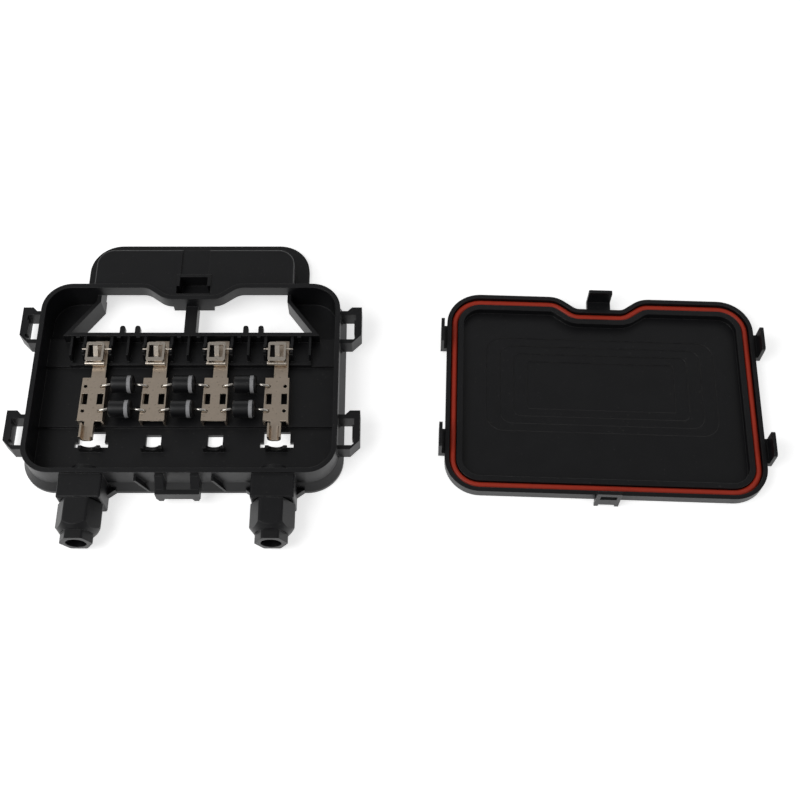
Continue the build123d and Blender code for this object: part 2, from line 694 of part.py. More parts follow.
def spring_clamp(x):
    """A sprung cage over the strip: window frame, side cheeks, rolled lip, tongue and two pins."""
    terminal = x
    x += CLAMP_OFFSET
    half = CLAMP_WIDTH / 2
    front = CLAMP_FRONT_Y
    roof = CLAMP_TOP - SHEET
    cage = block(x - half, x + half, front, CLAMP_BACK_Y, roof, CLAMP_TOP)
    cage = fillet(cage.edges().filter_by(Axis.Z), CLAMP_CORNER)
    window_front = front + CLAMP_WINDOW_INSET
    window_back = window_front + CLAMP_WINDOW_LENGTH
    window_half = CLAMP_WINDOW_WIDTH / 2
    cage -= block(x - window_half, x + window_half, window_front, window_back, 0, TALL)
    for side in (-1, 1):
        cage += clamp_side(terminal, side)
    drop = [
        (front + SHEET, CLAMP_TOP), (front, CLAMP_TOP - SHEET / 2), (front - SHEET / 2, CLAMP_LIP_Z),
        (front + SHEET / 2, CLAMP_LIP_Z), (front + SHEET, roof),
    ]
    cage += profile_x(drop, x - half + SHEET, x + half - SHEET)
    lip_half = CLAMP_LIP_WIDTH / 2
    cage += bar_along_x(x - lip_half, x + lip_half, front, CLAMP_LIP_Z, CLAMP_LIP_DIAMETER)
    tip = window_front + CLAMP_TONGUE_REACH
    heel = tip - CLAMP_TONGUE_HEEL
    sole = CLAMP_SIDE_BOTTOM + SHEET
    tongue = [
        (window_back + OVERLAP, roof), (window_back + OVERLAP, CLAMP_TOP), (window_back - SHEET, CLAMP_TOP),
        (tip, sole), (heel, sole), (heel, CLAMP_SIDE_BOTTOM), (tip, CLAMP_SIDE_BOTTOM),
    ]
    return cage + profile_x(tongue, x - CLAMP_TONGUE_WIDTH / 2, x + CLAMP_TONGUE_WIDTH / 2)


def clamp_side(x, side):
    """A side cheek of the cage and the pin that it turns on."""
    outer = x + CLAMP_OFFSET + side * CLAMP_WIDTH / 2
    inner = outer - side * SHEET
    pin_end = x + side * (RIB_HALF_GAP + RIB_THICK - PIVOT_FIT)
    front = CLAMP_FRONT_Y + CLAMP_SIDE_INSET
    back = CLAMP_BACK_Y - CLAMP_SIDE_INSET
    near, far = sorted((inner, outer))
    cheek = block(near, far, front, back, CLAMP_SIDE_BOTTOM, CLAMP_TOP - SHEET / 2)
    near, far = sorted((inner, pin_end))
    return cheek + bar_along_x(near, far, CLAMP_PIVOT_Y, CLAMP_PIVOT_Z, PIVOT_PIN)


def diode(left_x, right_x, y):
    """A round diode with leads bent down into the holes of two contact plates."""
    start = lead_hole_x(left_x, 1)
    end = lead_hole_x(right_x, -1)
    middle = (start + end) / 2 - DIODE_SIDE_SHIFT
    half = DIODE_LENGTH / 2
    body = bar_along_x(middle - half, middle + half, y, DIODE_AXIS_Z, DIODE_DIAMETER)
    body = fillet(body.edges().filter_by(GeomType.CIRCLE), DIODE_EDGE_ROUND)
    tip = PLATE_TOP - 2 * SHEET
    elbow = PLATE_TOP + LEAD_ELBOW_RISE
    path = FilletPolyline(
        (start, y, tip), (start, y, elbow), (middle - half, y, DIODE_AXIS_Z),
        (middle + half, y, DIODE_AXIS_Z), (end, y, elbow), (end, y, tip), radius=LEAD_BEND,
    )
    section = Plane(origin=(start, y, tip), z_dir=(0, 0, 1)) * Circle(LEAD_DIAMETER / 2)
    return body + sweep(section, path=path)


# Gland parts.

def hexagon(side, y):
    """A hexagon with a flat on top, on a plane across Y, with rounded corners."""
    plane = Plane(origin=(0, y, 0), x_dir=(1, 0, 0), z_dir=(0, -1, 0))
    face = RegularPolygon(radius=side, side_count=6)
    return plane * fillet(face.vertices(), NUT_CORNER)


def gland_nut(x):
    """The cap nut: a hexagonal body that tapers to a smaller hexagonal mouth."""
    rear = BLOCK_FRONT_Y - NUT_GAP
    body_front = rear - NUT_BODY_LENGTH
    taper_front = body_front - NUT_TAPER_LENGTH
    mouth = taper_front - NUT_END_LENGTH
    nut = extrude(hexagon(NUT_SIDE, rear), NUT_BODY_LENGTH + NUT_TAPER_LENGTH)
    taper = Rot(90, 0, 0) * Cone(NUT_SIDE, NUT_END_SIDE, NUT_TAPER_LENGTH)
    turned = tube_along_y(0, 0, 2 * NUT_SIDE, body_front, rear)
    nut &= turned + Pos(0, body_front - NUT_TAPER_LENGTH / 2, 0) * taper
    nut += extrude(hexagon(NUT_END_SIDE, taper_front), NUT_END_LENGTH)
    thread = SPIGOT_DIAMETER + 2 * NUT_FIT
    nut -= tube_along_y(0, 0, thread, body_front, rear + OVERLAP)
    cone = Rot(90, 0, 0) * Cone(thread / 2, NUT_HOLE / 2, NUT_TAPER_LENGTH)
    nut -= Pos(0, body_front - NUT_TAPER_LENGTH / 2, 0) * cone
    nut -= tube_along_y(0, 0, NUT_HOLE, mouth - OVERLAP, rear)
    return Pos(x, 0, GLAND_Z) * nut


def gland_sleeve(x):
    """The rubber sleeve that seals on the cable, seated at the bottom of the spigot."""
    front = BLOCK_FRONT_Y - SLEEVE_LENGTH
    body = tube_along_y(x, GLAND_Z, SLEEVE_DIAMETER, front, BLOCK_FRONT_Y)
    return body - tube_along_y(x, GLAND_Z, SLEEVE_BORE, front - OVERLAP, BLOCK_FRONT_Y + OVERLAP)


def clamp_ring(x):
    """The slotted ring between sleeve and nut, that squeezes the sleeve on the cable."""
    back = BLOCK_FRONT_Y - NUT_GAP - RING_CLEARANCE
    front = back - RING_LENGTH
    outer = SPIGOT_BORE - 2 * RING_CLEARANCE
    bore = SLEEVE_DIAMETER + 2 * RING_CLEARANCE
    ring = tube_along_y(0, 0, outer, front, back)
    ring -= tube_along_y(0, 0, bore, front - OVERLAP, back + OVERLAP)
    for turn in range(RING_SLOTS):
        half = RING_SLOT_WIDTH / 2
        slot = block(-half, half, front - OVERLAP, front + RING_SLOT_LENGTH, 0, outer)
        ring -= Rot(0, 360 / RING_SLOTS * turn, 0) * slot
    return Pos(x, 0, GLAND_Z) * ring


# Lid.

def lid_place():
    """From the lid's own frame to its place beside the box, slightly turned."""
    half_turn = radians(LID_TURN / 2)
    reach = 2 * LID_HINGE_REACH
    return Pos(reach * cos(half_turn), -reach * sin(half_turn), 0) * Rot(0, 0, -LID_TURN)


def side_hook(side, y):
    """A hook on a side of the lid: a neck and an upright plate."""
    skirt = SEAL_WIDTH / 2 + LID_SKIRT_REACH
    near = skirt + HOOK_GAP
    half = HOOK_LENGTH / 2
    neck = block(skirt - OVERLAP, near + OVERLAP, y - half, y + half, HOOK_BOTTOM, HOOK_NECK_TOP)
    plate = block(near, near + HOOK_THICK, y - half, y + half, HOOK_BOTTOM, HOOK_TOP)
    corners = plate.edges().filter_by(Axis.X).group_by(Axis.Z)[-1]
    hook = neck + fillet(corners, HOOK_ROUND)
    return hook if side > 0 else mirror(hook, Plane.YZ)


def rear_hook():
    """The hook in the lid's notch."""
    skirt = SEAL_DEPTH / 2 - NOTCH_DEPTH + LID_SKIRT_REACH
    near = skirt + REAR_HOOK_GAP
    half = REAR_HOOK_LENGTH / 2
    neck = block(-half, half, skirt - OVERLAP, near + OVERLAP, HOOK_BOTTOM, HOOK_NECK_TOP)
    plate = block(-half, half, near, near + HOOK_THICK, HOOK_BOTTOM, HOOK_TOP)
    return neck + fillet(plate.edges().filter_by(Axis.Y).group_by(Axis.Z)[-1], HOOK_ROUND / 2)


def front_hook():
    """The hook at the lid's front, a slotted plate on two short feet."""
    skirt = -SEAL_DEPTH / 2 - LID_SKIRT_REACH
    near = skirt - HOOK_GAP
    half = FRONT_HOOK_LENGTH / 2
    neck = block(-half, half, near - OVERLAP, skirt + OVERLAP, HOOK_BOTTOM, HOOK_NECK_TOP)
    plate = block(-half, half, near - HOOK_THICK, near, HOOK_BOTTOM, HOOK_TOP)
    plate = fillet(plate.edges().filter_by(Axis.Y).group_by(Axis.Z)[-1], HOOK_ROUND / 2)
    slot = FRONT_HOOK_SLOT / 2
    plate -= block(-slot, slot, -SEAL_DEPTH, 0, FRONT_HOOK_SLOT_BOTTOM, FRONT_HOOK_SLOT_TOP)
    for side in (-1, 1):
        inner, outer = sorted((side * (half - FRONT_HOOK_FOOT), side * half))
        plate += block(inner, outer, near - HOOK_THICK, near, 0, HOOK_NECK_TOP)
    return neck + plate


def lid():
    """The lid in one moulding: panel, skirt, seal groove, stepped inside face and hooks."""
    outer = prism(seal_outline(LID_SKIRT_REACH), 0, LID_SKIRT_TOP)
    outer = fillet(outer.faces().sort_by(Axis.Z)[0].edges(), LID_EDGE_ROUND)
    outer -= prism(seal_outline(LID_GROOVE_HALF), LID_PANEL, TALL)
    inner_wall = seal_outline(-LID_GROOVE_HALF) - seal_outline(-LID_GROOVE_HALF - LID_INNER_WALL)
    outer += prism(inner_wall, LID_PANEL - OVERLAP, LID_INNER_TOP)
    for step in range(LID_STEP_COUNT):
        inset = 2 * step * LID_STEP_INSET
        width = LID_STEP_WIDTH - inset * LID_STEP_SIDE_RATIO
        depth = LID_STEP_DEPTH - inset
        corner = LID_STEP_CORNER - step * LID_STEP_CORNER_LOSS
        face = Pos(0, LID_STEP_CENTRE_Y) * RectangleRounded(width, depth, corner)
        outer -= prism(face, LID_PANEL - (step + 1) * LID_STEP, LID_PANEL + OVERLAP)
    outer += rear_hook() + front_hook()
    for side in (-1, 1):
        outer += side_hook(side, CATCH_REAR_Y) + side_hook(side, CATCH_FRONT_Y)
    return lid_place() * outer


def lid_seal():
    """The round rubber seal in the lid's groove."""
    path = seal_outline(0).face().outer_wire()
    start = path @ 0
    section = Plane(origin=start, z_dir=path % 0) * Circle(SEAL_DIAMETER / 2)
    ring = sweep(section, path=path)
    return lid_place() * (Pos(0, 0, LID_PANEL + SEAL_DIAMETER / 2) * ring)


# All pieces by node name.

def all_nodes():
    nodes = {"base_housing": base_housing(), "lid": lid(), "lid_seal": lid_seal()}
    for number, x in enumerate(TERMINAL_XS, start=1):
        nodes[f"contact_plate_{number}"] = contact_plate(x, number in (1, TERMINAL_COUNT))
        nodes[f"spring_clamp_{number}"] = spring_clamp(x)
    number = 0
    for left_x, right_x in zip(TERMINAL_XS, TERMINAL_XS[1:]):
        for y in diode_rows():
            number += 1
            nodes[f"diode_{number}"] = diode(left_x, right_x, y)
    for side, x in GLAND_XS.items():
        nodes[f"gland_nut_{side}"] = gland_nut(x)
        nodes[f"gland_sleeve_{side}"] = gland_sleeve(x)
        nodes[f"clamp_ring_{side}"] = clamp_ring(x)
    return nodes


os.makedirs("parts", exist_ok=True)
for name, shape in all_nodes().items():
    export_step(shape, f"parts/{name}.step")
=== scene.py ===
import math

import bpy
import numpy as np
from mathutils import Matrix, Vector


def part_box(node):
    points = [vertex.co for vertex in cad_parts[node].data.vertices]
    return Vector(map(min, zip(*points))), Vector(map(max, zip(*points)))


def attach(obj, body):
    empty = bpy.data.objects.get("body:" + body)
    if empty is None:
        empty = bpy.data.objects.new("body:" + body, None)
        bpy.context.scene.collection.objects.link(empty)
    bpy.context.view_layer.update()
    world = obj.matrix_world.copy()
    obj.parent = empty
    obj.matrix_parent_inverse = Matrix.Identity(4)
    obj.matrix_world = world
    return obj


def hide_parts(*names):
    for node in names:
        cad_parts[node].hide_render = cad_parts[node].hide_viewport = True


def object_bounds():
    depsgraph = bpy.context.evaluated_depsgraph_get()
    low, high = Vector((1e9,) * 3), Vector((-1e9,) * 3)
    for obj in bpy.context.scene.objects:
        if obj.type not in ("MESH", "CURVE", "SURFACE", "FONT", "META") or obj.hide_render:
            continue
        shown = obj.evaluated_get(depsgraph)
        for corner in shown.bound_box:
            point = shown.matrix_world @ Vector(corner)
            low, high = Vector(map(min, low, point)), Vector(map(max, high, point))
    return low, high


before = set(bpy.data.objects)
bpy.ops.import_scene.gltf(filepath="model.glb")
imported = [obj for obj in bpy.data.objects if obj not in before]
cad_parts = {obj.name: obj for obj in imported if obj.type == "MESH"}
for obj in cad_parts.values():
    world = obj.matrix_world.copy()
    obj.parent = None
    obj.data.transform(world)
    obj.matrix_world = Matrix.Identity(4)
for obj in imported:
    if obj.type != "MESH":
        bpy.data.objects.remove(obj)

CAD_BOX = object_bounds()
MM = 0.001

# Depth of relief and radius of softened edges, in millimetres.
GRAIN_DEPTH = 0.012
ROLLING_DEPTH = 0.008
RUBBER_DEPTH = 0.015
PLASTIC_EDGE = 0.35
SHEET_EDGE = 0.12

# The diodes' printed bands, in millimetres along the case.
DIODE_HALF = 4.5
BAND_WIDTH = 1.5
BAND_INSET = 0.9

# Diodes, in metres.
DIODE_LENGTH = 2 * DIODE_HALF * MM
DIODE_SHIFT = 0.2 * MM
DIODE_EDGE = 0.55 * MM
CASE_SEGMENTS = 64
LEAD_SEGMENTS = 20
LEAD_RADIUS = 0.6 * MM
LEAD_BEND = 0.9 * MM
LEAD_RISE = 2.4 * MM
POLE_RADIUS = 0.02 * MM

# Roughness of the metals.
SHEET_ROUGHNESS = 0.36
STRIP_ROUGHNESS = 0.30
LEAD_ROUGHNESS = 0.22

# Stage, in metres.
FLOOR_REACH = 3.0
CURVE_START = 2.0
CURVE_RADIUS = 0.8
LAMP_SIZE = 0.6
KEY_OFFSET = Vector((-0.55, -0.25, 0.70))
FILL_OFFSET = Vector((0.75, -0.35, 0.50))

bl_info = {
    "name": "Solar Junction Box",
    "version": (1, 0, 0),
    "blender": (4, 5, 0),
    "location": "3D View > Sidebar > Junction Box",
    "description": "Finishes and fine pieces for a solar panel's junction box with its lid laid beside it",
    "category": "Add Mesh",
}


# Shader building.

class Wire:
    """A shader socket in an expression: each operator adds the Math node that works it out."""

    def __init__(self, paint, socket):
        self.paint = paint
        self.socket = socket

    def math(self, operation, *values, clamp=False):
        settings = {"operation": operation, "use_clamp": clamp}
        return self.paint.add("ShaderNodeMath", settings, dict(enumerate(values)))

    def __add__(self, other):
        return self.math("ADD", self, other)

    def __radd__(self, other):
        return self.math("ADD", other, self)

    def __sub__(self, other):
        return self.math("SUBTRACT", self, other)

    def __rsub__(self, other):
        return self.math("SUBTRACT", other, self)

    def __mul__(self, other):
        return self.math("MULTIPLY", self, other)

    def __rmul__(self, other):
        return self.math("MULTIPLY", other, self)

    def __truediv__(self, other):
        return self.math("DIVIDE", self, other)

    def __rtruediv__(self, other):
        return self.math("DIVIDE", other, self)

    def __gt__(self, other):
        return self.math("GREATER_THAN", self, other)

    def __lt__(self, other):
        return self.math("LESS_THAN", self, other)

    def __abs__(self):
        return self.math("ABSOLUTE", self)

    def smooth(self, low, high):
        """0 below low, 1 above high, and an S curve between them."""
        settings = {"interpolation_type": "SMOOTHSTEP"}
        ends = {"Value": self, "From Min": low, "From Max": high}
        return self.paint.add("ShaderNodeMapRange", settings, ends)

    def most(self, other):
        return self.math("MAXIMUM", self, other)


class Paint:
    """A material that is built up from nodes."""

    def __init__(self, name):
        self.material = bpy.data.materials.new(name)
        self.material.use_nodes = True
        self.tree = self.material.node_tree
        self.tree.nodes.clear()
        self.point = self.add("ShaderNodeTexCoord", {}, {}, "Object")

    def add(self, kind, settings, sockets, output=0):
        """Adds a node, sets its settings first and then its sockets' values or links."""
        made = self.tree.nodes.new(kind)
        for name, value in settings.items():
            setattr(made, name, value)
        for name, value in sockets.items():
            if isinstance(value, Wire):
                self.tree.links.new(value.socket, made.inputs[name])
            else:
                made.inputs[name].default_value = value
        return made if output is None else Wire(self, made.outputs[output])

    def attribute(self, name):
        """A number that a piece's own points carry, in millimetres."""
        return self.add("ShaderNodeAttribute", {"attribute_name": name}, {}, "Fac")

    def noise(self, size, detail=2.0, stretch=(1, 1, 1)):
        """Soft noise from 0 to 1, its features size millimetres across and longer where stretch is small."""
        place = self.add("ShaderNodeVectorMath", {"operation": "MULTIPLY"}, {0: self.point, 1: stretch})
        sockets = {"Vector": place, "Scale": 1.0 / (size * MM), "Detail": detail}
        return self.add("ShaderNodeTexNoise", {}, sockets, "Fac")

    def mix(self, share, first, second):
        """A colour between two others."""
        sockets = {"Factor": share, 6: colour(first), 7: colour(second)}
        return self.add("ShaderNodeMix", {"data_type": "RGBA"}, sockets, 2)

    def edge(self, radius):
        """How much the surface turns within a radius in millimetres: 0 on a flat, towards 1 at an edge."""
        soft = self.add("ShaderNodeBevel", {"samples": 6}, {"Radius": radius * MM})
        plain = self.add("ShaderNodeNewGeometry", {}, {}, "Normal")
        turn = self.add("ShaderNodeVectorMath", {"operation": "DOT_PRODUCT"}, {0: soft, 1: plain}, "Value")
        return (1.0 - turn).smooth(0.0, 0.3)

    def shallow(self, height, depth, base=None):
        """Normal of a surface raised by height, from 0 to 1, times depth in millimetres."""
        sockets = {"Height": height, "Distance": depth * MM, "Strength": 1.0}
        if base is not None:
            sockets["Normal"] = base
        return self.add("ShaderNodeBump", {}, sockets)

    def rounded(self, radius):
        """Normal with the edges softened to a radius in millimetres."""
        return self.add("ShaderNodeBevel", {"samples": 6}, {"Radius": radius * MM})

    def finish(self, **sockets):
        """The shader and the output node."""
        named = {name.replace("_", " "): colour(v) for name, v in sockets.items()}
        shader = self.add("ShaderNodeBsdfPrincipled", {}, named)
        self.add("ShaderNodeOutputMaterial", {}, {"Surface": shader}, None)
        return self.material


def colour(value):
    """A colour socket's four numbers from three, and anything else as it is."""
    if isinstance(value, Wire) or isinstance(value, float):
        return value
    return (*value[:3], 1.0)


# Sizes and colours that a user would change.

def pick(name, about, default):
    """A colour property."""
    return bpy.props.FloatVectorProperty(
        name=name, description=about, subtype="COLOR", size=3, min=0.0, max=1.0, default=default)


def amount(name, about, default, top=1.0):
    """A plain number property."""
    return bpy.props.FloatProperty(name=name, description=about, default=default, min=0.0, max=top)


class PlasticLook(bpy.types.PropertyGroup):
    body: pick("Body", "Colour of the black moulded plastic", (0.0050, 0.0051, 0.0060))
    dust: pick("Dust", "Colour of dust that settles on flat faces", (0.055, 0.053, 0.050))
    gloss_roughness: amount("Roughness", "Roughness of the moulded surface", 0.40)
    grain: amount("Grain", "Size of the mould's grain in millimetres", 0.55, 5.0)


class MetalLook(bpy.types.PropertyGroup):
    plate: pick("Plate", "Colour of the tinned contact sheet", (0.80, 0.68, 0.56))
    clamp: pick("Clamp", "Colour of the spring strip", (0.92, 0.84, 0.74))
    tarnish: pick("Tarnish", "Colour of tarnish and of handling marks", (0.20, 0.155, 0.11))
    lead: pick("Lead", "Colour of the diodes' tinned leads", (0.80, 0.77, 0.72))
    band: pick("Band", "Colour of the silver band printed on a diode", (0.36, 0.36, 0.37))


class RubberLook(bpy.types.PropertyGroup):
    seal: pick("Seal", "Colour of the lid's silicone seal", (0.52, 0.040, 0.016))
    sleeve: pick("Sleeve", "Colour of the cable sleeves", (0.030, 0.030, 0.031))


class StageLook(bpy.types.PropertyGroup):
    floor: pick("Floor", "Colour of the floor and the backdrop", (0.95, 0.95, 0.95))
    aim: bpy.props.FloatVectorProperty(
        name="Aim", description="Point of the floor that the camera looks at", size=3, subtype="TRANSLATION",
        default=(0.0882, -0.0037, 0.0))
    elevation: bpy.props.FloatProperty(
        name="Elevation", description="Height of the camera above the horizon", default=math.radians(63.0),
        subtype="ANGLE")
    distance: bpy.props.FloatProperty(
        name="Distance", description="From the camera to the point that it looks at", default=0.5168,
        unit="LENGTH", subtype="DISTANCE")
    lens: bpy.props.FloatProperty(
        name="Lens", description="Focal length of the camera", default=55.35, unit="CAMERA")
    glow: amount("Glow", "Share of white that the floor adds for the camera alone", 0.62)
    key: amount("Key", "Power of the large soft lamp in watts", 3.4, 100.0)
    fill: amount("Fill", "Power of the front lamp in watts", 1.0, 100.0)
    sky: amount("Sky", "Strength of the surrounding light", 0.24, 2.0)


def looks(context):
    return context.scene.junction_box_looks


class Looks(bpy.types.PropertyGroup):
    plastic: bpy.props.PointerProperty(type=PlasticLook, name="Plastic", description="Moulded plastic")
    metal: bpy.props.PointerProperty(type=MetalLook, name="Metal", description="Contacts and clamps")
    rubber: bpy.props.PointerProperty(type=RubberLook, name="Rubber", description="Seal and sleeves")
    stage: bpy.props.PointerProperty(type=StageLook, name="Stage", description="Floor, lamps and camera")


# Materials.

def moulded_plastic(name, plastic, print_on=None):
    """Black plastic with a fine grain, faint flow marks, worn edges and a little dust.

    The grain is noise at the grain's size. Wear follows the edges, where the surface turns.
    Print is a function of the paint that gives a share from 0 to 1 and the printed colour.
    """
    paint = Paint(name)
    flow = paint.noise(28.0, 3.0, (1, 0.35, 1))
    cloud = paint.noise(9.0, 4.0)
    grain = paint.noise(plastic.grain, 2.0)
    specks = paint.noise(0.9, 1.0).smooth(0.70, 0.80)
    edge = paint.edge(0.45) * paint.noise(3.0, 3.0).smooth(0.35, 0.6)
    base = paint.mix(flow * 0.35 + cloud * 0.25, plastic.body, [v * 1.55 for v in plastic.body])
    base = paint.mix(edge * 0.45, base, plastic.dust)
    base = paint.mix(specks * 0.5, base, plastic.dust)
    if print_on:
        share, ink = print_on(paint)
        base = paint.mix(share, base, ink)
    rough = plastic.gloss_roughness + (cloud - 0.5) * 0.14 + specks * 0.2 - edge * 0.10
    normal = paint.shallow(grain + flow * 0.4, GRAIN_DEPTH, paint.rounded(PLASTIC_EDGE))
    return paint.finish(Base_Color=base, Roughness=rough, Normal=normal, IOR=1.42)


def diode_body(plastic, metal):
    """Moulded case with a silver band round its cathode end, placed by the distance along the case."""
    def band(paint):
        along = paint.attribute("along")
        worn = paint.noise(0.6, 3.0).smooth(0.30, 0.42)
        inside = (along > DIODE_HALF - BAND_INSET - BAND_WIDTH) * (along < DIODE_HALF - BAND_INSET)
        return inside * (0.35 + worn * 0.65), metal.band

    return moulded_plastic("diode_case", plastic, print_on=band)


def sheet_metal(name, base_colour, tarnish, direction, roughness):
    """Plated sheet with rolling lines along a direction, handling marks, and a painted highlight: its edges
    are painted lighter.
    """
    paint = Paint(name)
    lines = paint.noise(0.35, 3.0, tuple(0.06 if d else 1.0 for d in direction))
    cloud = paint.noise(4.0, 4.0)
    marks = paint.noise(1.3, 5.0).smooth(0.58, 0.72)
    edge = paint.edge(0.25)
    base = paint.mix(cloud * 0.5 + marks * 0.35, base_colour, tarnish)
    # Painted highlight: the edges are painted half again lighter than the sheet colour, standing in for
    # light catching them.
    base = paint.mix(edge * 0.4, base, [min(1.0, v * 1.5) for v in base_colour])
    rough = roughness + (cloud - 0.5) * 0.2 + marks * 0.12
    normal = paint.shallow(lines + marks * 0.5, ROLLING_DEPTH, paint.rounded(SHEET_EDGE))
    return paint.finish(Base_Color=base, Roughness=rough, Normal=normal, Metallic=1.0)


def rubber(name, base_colour, roughness):
    """Moulded rubber: soft mottling, fine dust specks and a slightly uneven skin."""
    paint = Paint(name)
    cloud = paint.noise(5.0, 3.0)
    skin = paint.noise(0.8, 3.0)
    dust = paint.noise(0.5, 2.0).smooth(0.68, 0.78)
    base = paint.mix(cloud, base_colour, [v * 0.78 for v in base_colour])
    base = paint.mix(dust * 0.25, base, (0.35, 0.30, 0.28))
    rough = roughness + (cloud - 0.5) * 0.15 + dust * 0.2
    normal = paint.shallow(skin, RUBBER_DEPTH)
    return paint.finish(Base_Color=base, Roughness=rough, Normal=normal, IOR=1.41)


def dress(nodes, material):
    """Gives CAD nodes a material in place of their plain one."""
    for name in nodes:
        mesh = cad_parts[name].data
        mesh.materials.clear()
        mesh.materials.append(material)


def named(prefix):
    return sorted(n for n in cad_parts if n.startswith(prefix))


# Operators.

class JUNCTION_OT_housing(bpy.types.Operator):
    """Finish the box moulding"""
    bl_idname = "junction.housing"
    bl_label = "Box Housing"

    def execute(self, context):
        dress(["base_housing"], moulded_plastic("box_plastic", looks(context).plastic))
        return {"FINISHED"}


class JUNCTION_OT_lid(bpy.types.Operator):
    """Finish the lid moulding and its seal"""
    bl_idname = "junction.lid"
    bl_label = "Lid and Seal"

    def execute(self, context):
        dress(["lid"], moulded_plastic("lid_plastic", looks(context).plastic))
        dress(["lid_seal"], rubber("seal_rubber", looks(context).rubber.seal, 0.42))
        return {"FINISHED"}


class JUNCTION_OT_contacts(bpy.types.Operator):
    """Finish the contact plates and the spring clamps"""
    bl_idname = "junction.contacts"
    bl_label = "Contacts and Clamps"

    def execute(self, context):
        metal = looks(context).metal
        rolled = (0, 1, 0)
        sheet = sheet_metal("contact_sheet", metal.plate, metal.tarnish, rolled, SHEET_ROUGHNESS)
        strip = sheet_metal("spring_strip", metal.clamp, metal.tarnish, rolled, STRIP_ROUGHNESS)
        dress(named("contact_plate"), sheet)
        dress(named("spring_clamp"), strip)
        return {"FINISHED"}


class JUNCTION_OT_diodes(bpy.types.Operator):
    """Add the bypass diodes: turned bodies with a silver band, and bent leads"""
    bl_idname = "junction.diodes"
    bl_label = "Bypass Diodes"

    def execute(self, context):
        look = looks(context)
        body = diode_body(look.plastic, look.metal)
        lead = sheet_metal("diode_lead", look.metal.lead, look.metal.tarnish, (1, 0, 0), LEAD_ROUGHNESS)
        for node in named("diode"):
            low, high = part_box(node)
            bore = (high.y - low.y) / 2
            axis = Vector(((low.x + high.x) / 2 - DIODE_SHIFT, (low.y + high.y) / 2, high.z - bore))
            points = turned_body(axis, bore)
            case = self.add(f"{node}_case", node, points, body)
            along = (points[..., 0].ravel() - axis.x) / MM
            case.data.attributes.new("along", "FLOAT", "POINT").data.foreach_set("value", along)
            for word, side, end in (("left", -1, low), ("right", 1, high)):
                hole = end.x - side * LEAD_RADIUS
                path = bent_lead(axis, hole, low.z, side)
                self.add(f"{node}_lead_{word}", node, tube(path, LEAD_RADIUS), lead)
        return {"FINISHED"}

    @staticmethod
    def add(name, node, points, material):
        piece = surface(name, points, close_v=True)
        piece.data.materials.append(material)
        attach(piece, "box")
        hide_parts(node)
        return piece


def turned_body(axis, radius):
    """A turned case along X.

    Its radius over its length follows two flat ends, two quarter-circle edges and a straight side.
    """
    half = DIODE_LENGTH / 2
    turn = np.linspace(0.0, math.pi / 2, 7)
    edge_x = half - DIODE_EDGE * (1 - np.sin(turn))
    edge_r = radius - DIODE_EDGE + DIODE_EDGE * np.cos(turn)
    inner = np.array([POLE_RADIUS, radius * 0.35, radius * 0.7])
    side = np.linspace(-0.6, 0.6, 9) * half
    right_x = np.concatenate([edge_x, np.full(inner.size, half)])
    right_r = np.concatenate([edge_r, inner[::-1]])
    along = np.concatenate([-right_x[::-1], side, right_x])
    reach = np.concatenate([right_r[::-1], np.full(side.size, radius), right_r])
    around = np.linspace(0.0, 2 * math.pi, CASE_SEGMENTS, endpoint=False)
    grid_x = np.broadcast_to(along[:, None], (along.size, around.size))
    grid_y = reach[:, None] * np.cos(around)
    grid_z = reach[:, None] * np.sin(around)
    return np.stack([grid_x, grid_y, grid_z], -1) + np.array(axis)


def bent_lead(axis, hole, tip, side):
    """Middle line of a lead.

    It slopes from the case to above its hole, turns down in a circle's arc, and drops to its tip.
    """
    start = axis.x + side * (DIODE_LENGTH / 2 - LEAD_RADIUS)
    elbow = tip + LEAD_RISE
    slope = math.atan2(axis.z - elbow, abs(hole - start))
    turn = np.linspace(slope, math.pi / 2, 9)
    arc_x = hole - side * LEAD_BEND * (1 - np.sin(turn))
    arc_z = elbow - LEAD_BEND * (1 - math.tan(slope)) + LEAD_BEND * np.cos(turn)
    x = np.concatenate([[start], arc_x, [hole]])
    z = np.concatenate([[axis.z], arc_z, [tip]])
    return np.stack([x, np.full(x.size, axis.y), z], -1)


def tube(path, radius):
    """A round tube in the XZ plane: a circle carried along the path, drawn in to a point at both ends."""
    step = np.gradient(path, axis=0)
    step /= np.linalg.norm(step, axis=1)[:, None]
    across = np.array([0.0, 1.0, 0.0])
    up = np.cross(step, across)
    path = np.concatenate([path[:1], path, path[-1:]])
    up = np.concatenate([up[:1], up, up[-1:]])
    reach = np.concatenate([[POLE_RADIUS], np.full(len(path) - 2, radius), [POLE_RADIUS]])
    around = np.linspace(0.0, 2 * math.pi, LEAD_SEGMENTS, endpoint=False)
    ring = np.cos(around)[None, :, None] * across + np.sin(around)[None, :, None] * up[:, None, :]
    return path[:, None, :] + ring * reach[:, None, None]


class JUNCTION_OT_glands(bpy.types.Operator):
    """Finish the cable glands"""
    bl_idname = "junction.glands"
    bl_label = "Cable Glands"

    def execute(self, context):
        plastic = looks(context).plastic
        dress(named("gland_nut") + named("clamp_ring"), moulded_plastic("nut_plastic", plastic))
        dress(named("gland_sleeve"), rubber("sleeve_rubber", looks(context).rubber.sleeve, 0.55))
        return {"FINISHED"}


